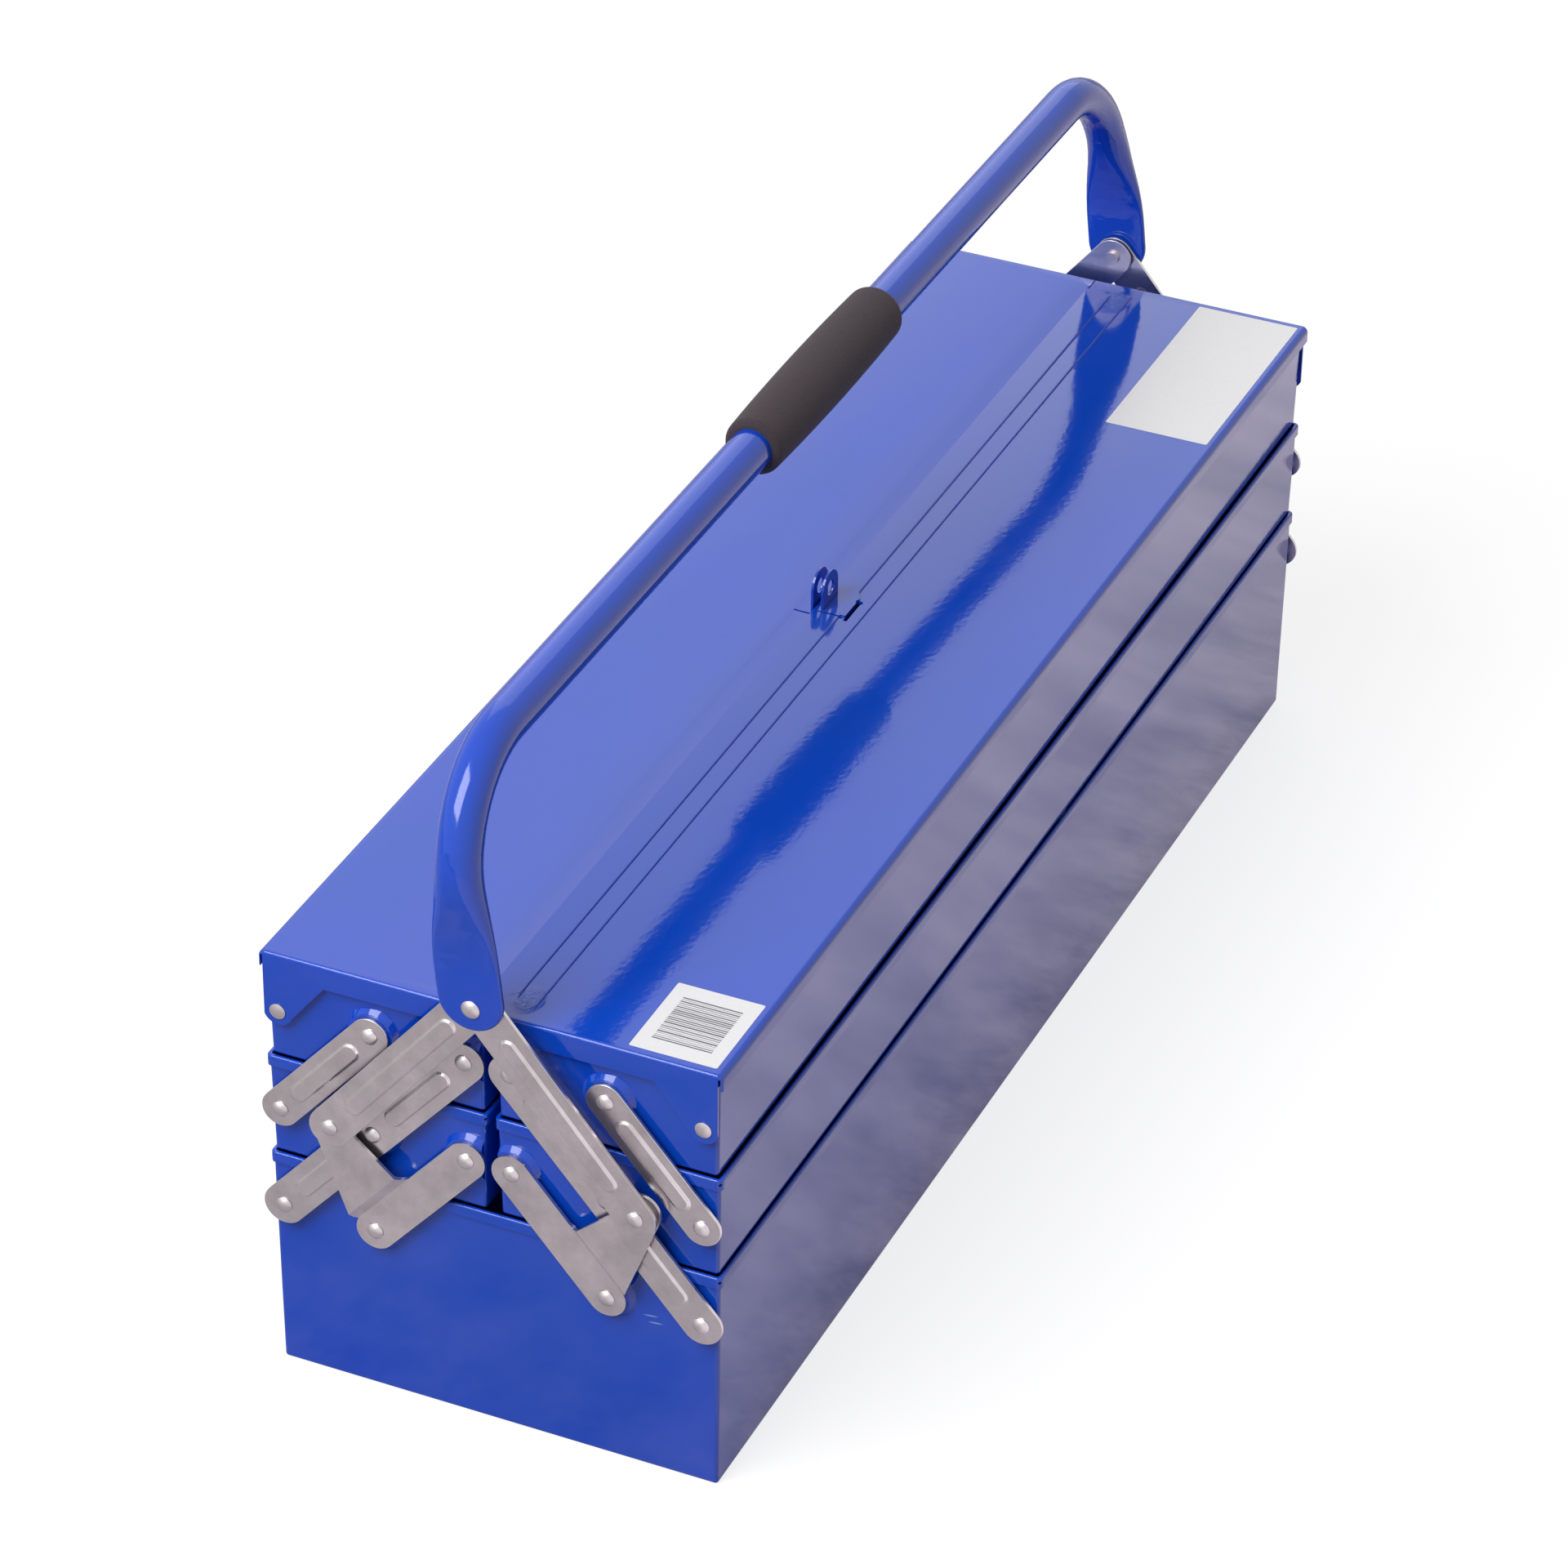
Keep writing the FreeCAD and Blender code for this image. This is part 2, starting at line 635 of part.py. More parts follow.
def lid_outline(y_edge):
    # What is kept of the skin, seen along the box: the straight end flange, its slope,
    # the ear round the lid's pivot, and the shallow side flange
    y, z = lid_pin
    flange_foot = lid_top - lid_end_depth
    slope_top = (y - lid_slope_top, flange_foot)
    low_angle = math.pi + math.asin(lid_slope_foot_share)
    slope_low = (y + lid_ear_radius * math.cos(low_angle), z + lid_ear_radius * math.sin(low_angle))
    ear_bottom = (y, z - lid_ear_radius)
    ear_side = (y + lid_ear_radius, z)
    side_foot = lid_top - lid_side_depth
    start = y_edge - overrun
    out = lid_outer_y + overrun
    up = lid_top + overrun
    x0 = -(half_length + lid_end_out + overrun)
    before = [(start, up), (start, flange_foot), slope_top, slope_low]
    after = [ear_side, (ear_side[0], side_foot), (out, side_foot), (out, up), (start, up)]
    edges = []
    for a, b in zip(before, before[1:]):
        edges.append(Part.LineSegment(Vector(x0, a[0], a[1]), Vector(x0, b[0], b[1])).toShape())
    edges.append(Part.Arc(Vector(x0, slope_low[0], slope_low[1]), Vector(x0, ear_bottom[0], ear_bottom[1]),
                          Vector(x0, ear_side[0], ear_side[1])).toShape())
    for a, b in zip(after, after[1:]):
        edges.append(Part.LineSegment(Vector(x0, a[0], a[1]), Vector(x0, b[0], b[1])).toShape())
    return Part.Face(Part.Wire(edges)).extrude(Vector(-2 * x0, 0, 0))


def lid_skin(y_edge):
    outer = lid_block(y_edge, 0, lid_outer_round, lid_end_round)
    inner = lid_block(y_edge - overrun, sheet, lid_outer_round - sheet, lid_end_inner_round)
    skin = outer.cut(inner).common(lid_outline(y_edge))
    slit_y = top_tray_outer + lid_side_gap
    slit = box_between(-(half_length + lid_end_out + overrun), -(half_length + lid_end_in - overrun / 2),
                       slit_y - lid_slit, slit_y, lid_row - lid_ear_radius - overrun, lid_top - lid_slit_top)
    hole = end_disc(lid_pin[0], lid_pin[1], running_hole, 0, lid_end_out + overrun)
    return skin.cut(both_ends([slit, hole]))


def lug(y_face, foot_side, foot_reach, seat):
    # Upright ear with a padlock hole, turned to a foot that is welded under the lid
    r = lug_width / 2
    x = lug_start + r
    crown = lid_top + lug_rise - r
    plate = box_between(x - r, x + r, y_face, y_face + lug_thickness, seat - lug_thickness, crown)
    cap = Part.makeCylinder(r, lug_thickness, Vector(x, y_face, crown), Vector(0, 1, 0))
    hole = Part.makeCylinder(lug_hole_radius, lug_thickness + overrun * 2, Vector(x, y_face - overrun, crown), Vector(0, 1, 0))
    if foot_side > 0:
        foot = box_between(x - r, x + r, y_face, y_face + foot_reach, seat - lug_thickness, seat)
    else:
        foot = box_between(x - r, x + r, y_face + lug_thickness - foot_reach, y_face + lug_thickness,
                           seat - lug_thickness, seat)
    return fused(plate, [cap, foot]).cut(hole)


def lug_slot(y_face):
    # Slot in the lid that the ear stands in
    c = lug_slot_clearance
    return box_between(lug_start - c, lug_start + lug_width + c, y_face - c, y_face + lug_thickness + c,
                       lid_under - overrun / 2, lid_top + overrun)


# Both lids are stepped along their inner edges, short of the ends
lap_half = half_length - lap_end_inset


def sunk_strip(z_top, y_start):
    # Band along the left lid's inner edge, one step lower, with sloping sides
    wires = []
    for z, x, y in ((z_top, lap_half, left_step_high), (z_top - left_step_drop, lap_half - lap_ramp, left_step_low)):
        corners = [Vector(-x, y_start, z), Vector(x, y_start, z), Vector(x, y, z), Vector(-x, y, z)]
        wires.append(Part.makePolygon(corners + corners[:1]))
    return Part.makeLoft(wires, True, True)


# Left lid: its inner edge is sunk one step, with a short slit beside the lug
left_lid = lid_skin(left_lid_edge)
left_lid = left_lid.fuse(sunk_strip(lid_under, left_lid_edge))
left_lid = left_lid.cut(sunk_strip(lid_top, left_lid_edge - overrun)).removeSplitter()
left_slit = box_between(lug_start - left_slit_line, lug_start - left_slit_line + slit_width, left_lid_edge - overrun,
                        left_lid_edge + left_slit_length, lid_under - overrun / 2, lid_top + overrun)
left_lid = left_lid.cut([lug_slot(left_lid_edge), left_slit])

# Right lid: its inner edge is lapped twice and reaches past the middle

def lap(y_line, z_low, x0, x1):
    # Raised strip along the lid's inner edge with sloping ends and a soft step
    pts = [(x0, z_low), (x1, z_low), (x1 - lap_ramp, z_low + lap_rise), (x0 + lap_ramp, z_low + lap_rise)]
    corners = [Vector(x, -right_lid_edge, z) for x, z in pts]
    face = Part.Face(Part.makePolygon(corners + corners[:1]))
    strip = face.extrude(Vector(0, y_line + right_lid_edge, 0))
    step = [e for e in strip.Edges if e.CenterOfMass.y > y_line - lap_rise / 4
            and e.CenterOfMass.z > z_low + lap_rise * 3 / 4]
    return strip.makeFillet(lap_step_round, step)


right_lid = lid_skin(-right_lid_edge)
first_lap = lap(lap_outer_line, lid_top, -lap_half, lap_half)
second_lap = lap(lap_inner_line, lid_top + lap_rise, -lap_half + lap_ramp, lap_half - lap_ramp)
patch_x = lug_start + lug_width
patch_points = [(lug_start, lap_inner_line - lap_step_round), (lug_start, lap_patch_line)]
patch_points += [(patch_x, lap_patch_line), (patch_x + lap_patch_ramp, lap_inner_line - lap_step_round)]
patch_corners = [Vector(x, y, lid_top + lap_rise) for x, y in patch_points]
patch = Part.Face(Part.makePolygon(patch_corners + patch_corners[:1])).extrude(Vector(0, 0, lap_rise))
right_lid = fused(right_lid, [first_lap, second_lap, patch])
right_cuts = [lug_slot(-right_lug_line - lug_thickness)]
slit_x = -right_slit_line
right_cuts.append(box_between(slit_x - slit_width / 2, slit_x + slit_width / 2, -right_slit_start, right_slit_end,
                              lid_under - overrun / 2, lid_top + overrun * 2))
right_cuts.append(box_between(-slot_start, slot_end, slot_line - slot_width / 2, slot_line + slot_width / 2,
                              lid_under - overrun / 2, lid_top + overrun * 2))
right_cuts.append(Part.makeCylinder(slot_hole_radius, overrun * 3, Vector(slot_end, slot_line, lid_under - overrun / 2)))
right_lid = right_copy(right_lid.cut(right_cuts))

left_lug = lug(left_lid_edge, 1, left_lug_foot, lid_under - left_step_drop)
right_lug = lug(right_lug_line, -1, lug_foot, lid_under)


# Handle: one tube, bent down at both ends and flattened to paddles on the pivots

leg_x = half_length + (paddle_in + paddle_out) / 2 - leg_set_in
bar_z = handle_pivot_z + handle_bar_rise
bend_start = handle_bar_rise - handle_bend_radius
bend_z = handle_pivot_z + bend_start
straight_z = handle_pivot_z + paddle_straight_top


def leg_place(run):
    # Centre of the leg and its turn, a distance up the tube from the pivot
    turn = max(0, run - bend_start) / handle_bend_radius
    x = -leg_x + handle_bend_radius * (1 - math.cos(turn))
    z = handle_pivot_z + min(run, bend_start) + handle_bend_radius * math.sin(turn)
    return x, z, turn


def flattened(run, share):
    # Rounded rectangle that turns from the round tube (1) to the flat paddle (0)
    x, z, turn = leg_place(run)
    half_w = paddle_half_width + (tube_radius - paddle_half_width) * share
    thick = paddle_thickness + (2 * tube_radius - paddle_thickness) * share
    corner_share = paddle_corner_share + (tube_corner_share - paddle_corner_share) * share
    radius = min(half_w, thick / 2) * corner_share
    out = leg_set_in * (1 - share)
    t0 = -out - thick / 2
    t1 = -out + thick / 2
    y0 = -half_w
    y1 = half_w
    k = radius * (1 - math.sqrt(0.5))

    def place(t, y):
        return Vector(x + t * math.cos(turn), y, z - t * math.sin(turn))

    edges = []
    ring = [((t0 + radius, y0), (t1 - radius, y0), (t1 - k, y0 + k), (t1, y0 + radius))]
    ring.append(((t1, y0 + radius), (t1, y1 - radius), (t1 - k, y1 - k), (t1 - radius, y1)))
    ring.append(((t1 - radius, y1), (t0 + radius, y1), (t0 + k, y1 - k), (t0, y1 - radius)))
    ring.append(((t0, y1 - radius), (t0, y0 + radius), (t0 + k, y0 + k), (t0 + radius, y0)))
    for a, b, m, c in ring:
        edges.append(Part.LineSegment(place(a[0], a[1]), place(b[0], b[1])).toShape())
        edges.append(Part.Arc(place(b[0], b[1]), place(m[0], m[1]), place(c[0], c[1])).toShape())
    return Part.Wire(edges)


flatten_run_shares = (0.0, 0.1, 0.25, 0.42, 0.58, 0.75, 0.9, 1.0)
flatten_form_shares = (0.0, 0.02, 0.13, 0.36, 0.64, 0.87, 0.98, 1.0)
sections = []
for run_share, form_share in zip(flatten_run_shares, flatten_form_shares):
    run = paddle_straight_top + (paddle_round_top - paddle_straight_top) * run_share
    sections.append(flattened(run, form_share))
transition = Part.makeLoft(sections, True, False)

paddle_z = handle_pivot_z - paddle_end_drop + paddle_half_width
paddle_disc = end_disc(0, paddle_z, paddle_half_width, paddle_in, paddle_out)
paddle_box = box_between(-(half_length + paddle_out), -(half_length + paddle_in), -paddle_half_width,
                         paddle_half_width, paddle_z, straight_z)
paddle_edge_round = paddle_thickness * paddle_corner_share / 2
paddle = fused(paddle_disc, [paddle_box])
rim_edges = [e for e in paddle.Edges if abs(e.CenterOfMass.x + half_length + paddle_in) < sheet / 4
             or abs(e.CenterOfMass.x + half_length + paddle_out) < sheet / 4]
rim_edges = [e for e in rim_edges if max(v.Z for v in e.Vertexes) < straight_z + sheet
             and not min(v.Z for v in e.Vertexes) > straight_z - sheet]
paddle = paddle.makeFillet(paddle_edge_round, rim_edges)
paddle = paddle.cut(end_disc(0, handle_pivot_z, handle_shank_radius + running_clearance, 0, paddle_out + overrun))

leg_parts = [paddle, transition]
round_x, round_z, round_turn = leg_place(paddle_round_top)
if paddle_round_top < bend_start:
    leg_parts.append(Part.makeCylinder(tube_radius, bend_z - round_z, Vector(round_x, 0, round_z), Vector(0, 0, 1)))
tube_way = Vector(math.sin(round_turn), 0, math.cos(round_turn))
first_x, first_z, first_turn = leg_place(max(paddle_round_top, bend_start))
bend_circle = Part.Face(Part.Wire(Part.makeCircle(tube_radius, Vector(first_x, 0, first_z), tube_way)))
bend_middle = Vector(-leg_x + handle_bend_radius, 0, bend_z)
leg_parts.append(bend_circle.revolve(bend_middle, Vector(0, 1, 0), 90 - math.degrees(first_turn)))
bar_half = leg_x - handle_bend_radius
bar = Part.makeCylinder(tube_radius, bar_half * 2, Vector(-bar_half, 0, bar_z), Vector(1, 0, 0))
handle_tube = fused(bar, both_ends(leg_parts))

# Grip: a foam sleeve on the bar, a little fuller in the middle than at its rounded ends
grip_bore = tube_radius + seat_clearance
grip_middle = (grip_start + grip_end) / 2
grip_face_edges = []


def grip_at(x, r):
    return Vector(x, 0, bar_z + r)


corner = grip_round * (1 - math.sqrt(0.5))
grip_face_edges.append(Part.LineSegment(grip_at(grip_start, grip_bore), grip_at(grip_start, grip_end_radius - grip_round)).toShape())
grip_face_edges.append(Part.Arc(grip_at(grip_start, grip_end_radius - grip_round), grip_at(grip_start + corner, grip_end_radius - corner),
                                grip_at(grip_start + grip_round, grip_end_radius)).toShape())
grip_face_edges.append(Part.Arc(grip_at(grip_start + grip_round, grip_end_radius), grip_at(grip_middle, grip_radius),
                                grip_at(grip_end - grip_round, grip_end_radius)).toShape())
grip_face_edges.append(Part.Arc(grip_at(grip_end - grip_round, grip_end_radius), grip_at(grip_end - corner, grip_end_radius - corner),
                                grip_at(grip_end, grip_end_radius - grip_round)).toShape())
grip_face_edges.append(Part.LineSegment(grip_at(grip_end, grip_end_radius - grip_round), grip_at(grip_end, grip_bore)).toShape())
grip_face_edges.append(Part.LineSegment(grip_at(grip_end, grip_bore), grip_at(grip_start, grip_bore)).toShape())
handle_grip = Part.Face(Part.Wire(grip_face_edges)).revolve(Vector(0, 0, bar_z), Vector(1, 0, 0), 360)

# The handle leans a little to the left as it stands
for piece in (handle_tube, handle_grip):
    piece.rotate(Vector(0, 0, handle_pivot_z), Vector(1, 0, 0), -handle_lean)

# One file for each piece
nodes = {"base_bin": base_bin}
nodes["left_middle_tray"] = left_middle_tray
nodes["right_middle_tray"] = right_copy(left_middle_tray)
nodes["left_top_tray"] = left_top_tray
nodes["right_top_tray"] = right_copy(left_top_tray)
nodes["left_middle_dividers"] = left_middle_dividers
nodes["right_middle_dividers"] = right_copy(left_middle_dividers)
nodes["left_top_dividers"] = left_top_dividers
nodes["right_top_dividers"] = right_copy(left_top_dividers)
nodes["left_lid"] = left_lid
nodes["right_lid"] = right_lid
nodes["left_hasp_lug"] = left_lug
nodes["right_hasp_lug"] = right_lug
plates = {"long_link": long_link, "short_link": short_link, "crank_plate": crank_plate}
for kind, plate in plates.items():
    nodes["near_left_" + kind] = plate
    nodes["far_left_" + kind] = far_copy(plate)
    nodes["near_right_" + kind] = right_copy(plate)
    nodes["far_right_" + kind] = right_copy(far_copy(plate))
nodes["near_left_arm"] = left_arm
nodes["far_left_arm"] = far_copy(left_arm)
nodes["near_right_arm"] = right_arm
nodes["far_right_arm"] = far_copy(right_arm)
nodes["base_link_rivets"] = Part.makeCompound(base_link_rivets)
nodes["left_middle_tray_rivets"] = Part.makeCompound(middle_rivets)
nodes["right_middle_tray_rivets"] = right_copy(Part.makeCompound(middle_rivets))
nodes["left_top_tray_rivets"] = Part.makeCompound(top_rivets)
nodes["right_top_tray_rivets"] = right_copy(Part.makeCompound(top_rivets))
nodes["left_lid_rivets"] = Part.makeCompound(lid_rivets)
nodes["right_lid_rivets"] = right_copy(Part.makeCompound(lid_rivets))
nodes["left_crank_rivets"] = Part.makeCompound(both_ends([left_crank_rivet]))
nodes["right_crank_rivets"] = Part.makeCompound(both_ends([right_crank_rivet]))
nodes["right_arm_spacers"] = Part.makeCompound(both_ends([right_spacer]))
nodes["left_arm_studs"] = Part.makeCompound(both_ends([arm_stud]))
nodes["handle_rivets"] = Part.makeCompound(both_ends([handle_pivot]))
nodes["handle_tube"] = handle_tube
nodes["handle_grip"] = handle_grip

for name, shape in nodes.items():
    shape.exportStep("parts/" + name + ".step")
    print(name, len(shape.Solids), shape.isValid(), round(shape.Volume, 1))
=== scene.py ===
# %% [markdown]
# # A cantilever tool box
# This file dresses a packed mechanical model of a sheet-steel tool box. The real box is
# painted steel, zinc-plated links and a foam grip. The frame gives every part its place
# in metres, so each visible piece is made where the frame says. Only the two paper labels
# and the bars on one of them are placed by numbers of their own.

# %% Load the frame
import json
import math

import bmesh
import bpy
from mathutils import Matrix, Vector


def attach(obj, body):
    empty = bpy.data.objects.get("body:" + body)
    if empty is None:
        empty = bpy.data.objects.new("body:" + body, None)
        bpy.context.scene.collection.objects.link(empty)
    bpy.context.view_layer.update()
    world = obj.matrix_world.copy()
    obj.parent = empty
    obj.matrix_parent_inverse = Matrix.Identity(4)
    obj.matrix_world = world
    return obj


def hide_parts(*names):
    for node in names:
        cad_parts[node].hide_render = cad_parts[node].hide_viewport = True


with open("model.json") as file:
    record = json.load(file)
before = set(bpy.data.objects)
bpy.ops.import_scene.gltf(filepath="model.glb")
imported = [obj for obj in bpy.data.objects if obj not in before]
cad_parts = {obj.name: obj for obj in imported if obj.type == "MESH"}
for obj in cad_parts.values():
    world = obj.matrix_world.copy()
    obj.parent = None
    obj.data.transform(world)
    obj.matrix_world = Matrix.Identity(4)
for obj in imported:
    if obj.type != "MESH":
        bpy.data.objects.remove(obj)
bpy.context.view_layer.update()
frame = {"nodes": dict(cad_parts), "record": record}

nodes = frame["nodes"]
body_of_node = {n: b for b, ns in frame["record"]["behaviour"]["bodies"].items() for n in ns}

# %% [markdown]
# ## The camera
# A product photograph taken with a long lens from one corner, above the lid. The lens and
# the place were worked out from the box's straight edges, so the camera is set from a
# position, a target and a small roll instead of being aimed by eye.

# %% Camera
PHOTO_SIDE = 1920
FOCAL_PIXELS = 7372.17
EYE = Vector((-2.01902, -0.87133, 1.56525))
AIM = Vector((0.01612, 0.02618, 0.100))
ROLL = 0.01294

forward = (AIM - EYE).normalized()
right = forward.cross(Vector((0, 0, 1))).normalized()
up = right.cross(forward)
right_rolled = right * math.cos(ROLL) + up * math.sin(ROLL)
up_rolled = up * math.cos(ROLL) - right * math.sin(ROLL)
lens = bpy.data.cameras.new("photo_lens")
lens.sensor_width = 36
lens.lens = FOCAL_PIXELS / PHOTO_SIDE * lens.sensor_width
camera = bpy.data.objects.new("photo_camera", lens)
camera.matrix_world = Matrix((
    (right_rolled.x, up_rolled.x, -forward.x, EYE.x),
    (right_rolled.y, up_rolled.y, -forward.y, EYE.y),
    (right_rolled.z, up_rolled.z, -forward.z, EYE.z),
    (0, 0, 0, 1)))
bpy.context.scene.collection.objects.link(camera)
bpy.context.scene.camera = camera
print("lens", round(lens.lens, 1), "mm")

# %% [markdown]
# ## Small tools for building materials
# Every finish here is a node tree on Object coordinates, so a pattern stays put on the
# metal when a tray moves. These six helpers keep the trees short to read.

# %% Node helpers
def new_finish(name):
    """An empty material with its output and its main shader."""
    finish = bpy.data.materials.new(name)
    finish.use_nodes = True
    tree = finish.node_tree
    shader = tree.nodes["Principled BSDF"]
    place = tree.nodes.new("ShaderNodeTexCoord")
    return finish, tree, shader, place.outputs["Object"]


def noise(tree, place, scale, detail=3.0, roughness=0.5, stretch=None):
    """Noise on object coordinates, stretched along an axis if asked."""
    source = place
    if stretch is not None:
        mapping = tree.nodes.new("ShaderNodeMapping")
        mapping.inputs["Scale"].default_value = stretch
        tree.links.new(place, mapping.inputs["Vector"])
        source = mapping.outputs["Vector"]
    node = tree.nodes.new("ShaderNodeTexNoise")
    node.inputs["Scale"].default_value = scale
    node.inputs["Detail"].default_value = detail
    node.inputs["Roughness"].default_value = roughness
    tree.links.new(source, node.inputs["Vector"])
    return node.outputs["Fac"]


def ramp(tree, value, stops):
    """A colour ramp through (position, colour) stops; grey stops may be one number."""
    node = tree.nodes.new("ShaderNodeValToRGB")
    ends = node.color_ramp.elements
    while len(ends) < len(stops):
        ends.new(0.5)
    for end, (position, colour) in zip(ends, stops):
        end.position = position
        if isinstance(colour, (int, float)):
            colour = (colour, colour, colour)
        end.color = (*colour, 1)
    tree.links.new(value, node.inputs["Fac"])
    return node.outputs["Color"]


def blend_colours(tree, amount, a, b):
    """Mixes two colours, each a socket or a plain colour."""
    node = tree.nodes.new("ShaderNodeMix")
    node.data_type = "RGBA"
    if isinstance(amount, (int, float)):
        node.inputs["Factor"].default_value = amount
    else:
        tree.links.new(amount, node.inputs["Factor"])
    for socket, colour in ((node.inputs[6], a), (node.inputs[7], b)):
        if isinstance(colour, tuple):
            socket.default_value = (*colour, 1)
        else:
            tree.links.new(colour, socket)
    return node.outputs[2]


def arithmetic(tree, kind, a, b):
    """One Math node on sockets or numbers."""
    node = tree.nodes.new("ShaderNodeMath")
    node.operation = kind
    for socket, value in zip(node.inputs, (a, b)):
        if isinstance(value, (int, float)):
            socket.default_value = value
        else:
            tree.links.new(value, socket)
    return node.outputs[0]


def bump(tree, shader, height, distance, strength=1.0, after=None):
    """Raises the shading normal by a height socket, in metres of distance."""
    node = tree.nodes.new("ShaderNodeBump")
    node.inputs["Distance"].default_value = distance
    node.inputs["Strength"].default_value = strength
    tree.links.new(height, node.inputs["Height"])
    if after is not None:
        tree.links.new(after, node.inputs["Normal"])
    tree.links.new(node.outputs["Normal"], shader.inputs["Normal"])
    return node.outputs["Normal"]


print("helpers for noise, ramps, blends, sums and bumps")

# %% [markdown]
# ## Marks at one place
# Wear isn't even: a scratch or a crumpled patch sits at one spot. A mask that is 1 at a
# point of the metal and falls to 0 at an ellipsoid's skin puts a mark exactly there. It
# could be painted on an image instead, but a mask needs no file and stays sharp.

# %% Mask of one spot
def spot(tree, place, centre, radii, turn=0.0):
    """1 at a point in metres, 0 outside an ellipsoid about it, turned about X."""
    mapping = tree.nodes.new("ShaderNodeMapping")
    mapping.vector_type = "TEXTURE"
    mapping.inputs["Location"].default_value = centre
    mapping.inputs["Rotation"].default_value = (turn, 0, 0)
    mapping.inputs["Scale"].default_value = radii
    tree.links.new(place, mapping.inputs["Vector"])
    length = tree.nodes.new("ShaderNodeVectorMath")
    length.operation = "LENGTH"
    tree.links.new(mapping.outputs["Vector"], length.inputs[0])
    return ramp(tree, length.outputs["Value"], ((0.0, 1.0), (0.6, 0.9), (1.0, 0.0)))


print("mask for one spot")

# %% [markdown]
# ## Blue paint
# The sheet is stove-enamelled in a strong gloss blue. Enamel is nearly a mirror, but it
# has orange peel: a fine shallow ripple that frays the edges of every reflection. So the
# shader is a smooth dielectric with a fine bump and a wide bump, and the roughness itself
# stays low. A metallic shader would tint the white reflections, which real enamel doesn't.
# Handling leaves cloudy rubs, specks of dust and two short scratches on the base.

# %% Blue paint
NEAR_END = -0.3240                       # the near end's outer face, in metres
STROKES = ((-0.0690, 0.0772), (-0.0712, 0.0742))
STROKE_RADII = (0.01, 0.0036, 0.0005)
STROKE_TURN = -0.10
LAP_HEIGHT = 0.206
LAP_ENDS = ((-0.3120, -0.0115, 0.010, 0.0065), (0.3080, -0.0105, 0.012, 0.0070))


def enamel(name, colour, cloud, roughness, marked):
    """Gloss paint with clouds, dust and two ripples, and the marks if asked."""
    finish, tree, shader, place = new_finish(name)
    clouds = noise(tree, place, 9.0, 5.0, 0.62)
    rubbed = noise(tree, place, 38.0, 6.0, 0.7)
    soft = ramp(tree, clouds, ((0.30, 0.0), (0.72, 1.0)))
    base = blend_colours(tree, soft, colour, cloud)
    specks = noise(tree, place, 900.0, 2.0, 0.5)
    dust = ramp(tree, specks, ((0.74, 0.0), (0.80, 1.0)))
    dust_amount = arithmetic(tree, "MULTIPLY", dust, 0.05)
    base = blend_colours(tree, dust_amount, base, (0.35, 0.38, 0.5))
    peel = noise(tree, place, 330.0, 2.0, 0.5)
    ripple = noise(tree, place, 20.0, 2.0, 0.4)
    last = bump(tree, shader, ripple, 0.0006, 0.16)
    last = bump(tree, shader, peel, 0.00006, 0.55, last)
    if marked:
        # Two short strokes on the near end, where something scraped the base
        for y, z in STROKES:
            stroke = spot(tree, place, (NEAR_END, y, z), STROKE_RADII, STROKE_TURN)
            stroke_amount = arithmetic(tree, "MULTIPLY", stroke, 0.6)
            base = blend_colours(tree, stroke_amount, base, (0.30, 0.48, 0.85))
        # Crumpled and rubbed paint at both ends of the laps
        for x, y, rx, ry in LAP_ENDS:
            patch = spot(tree, place, (x, y, LAP_HEIGHT), (rx, ry, 0.004))
            wrinkles = noise(tree, place, 420.0, 5.0, 0.7)
            raised = arithmetic(tree, "MULTIPLY", patch, wrinkles)
            last = bump(tree, shader, raised, 0.0011, 0.5, last)
            worn = ramp(tree, raised, ((0.42, 0.0), (0.58, 1.0)))
            worn_amount = arithmetic(tree, "MULTIPLY", worn, 0.35)
            base = blend_colours(tree, worn_amount, base, (0.05, 0.22, 0.80))
    tree.links.new(base, shader.inputs["Base Color"])
    spread = ramp(tree, rubbed, ((0.25, roughness), (0.8, roughness + 0.05)))
    tree.links.new(spread, shader.inputs["Roughness"])
    shader.inputs["IOR"].default_value = 1.52
    return finish


BLUE = (0.0025, 0.062, 0.57)
BLUE_CLOUD = (0.0045, 0.068, 0.53)
TUBE_BLUE = (0.0025, 0.062, 0.59)
TUBE_CLOUD = (0.0040, 0.067, 0.56)
sheet_paint = enamel("blue_enamel_sheet", BLUE, BLUE_CLOUD, 0.065, True)
tube_paint = enamel("blue_enamel_tube", TUBE_BLUE, TUBE_CLOUD, 0.09, False)
print("paints", sheet_paint.name, tube_paint.name)

# %% [markdown]
# ## Zinc plate
# The links are stamped from steel strip and bright zinc plated. Zinc is a metal with a
# warm grey colour, a fine grain and darker handling stains. The grain on the plates is
# drawn four times wider in their own plane than through them. Wide noise gives the stains.

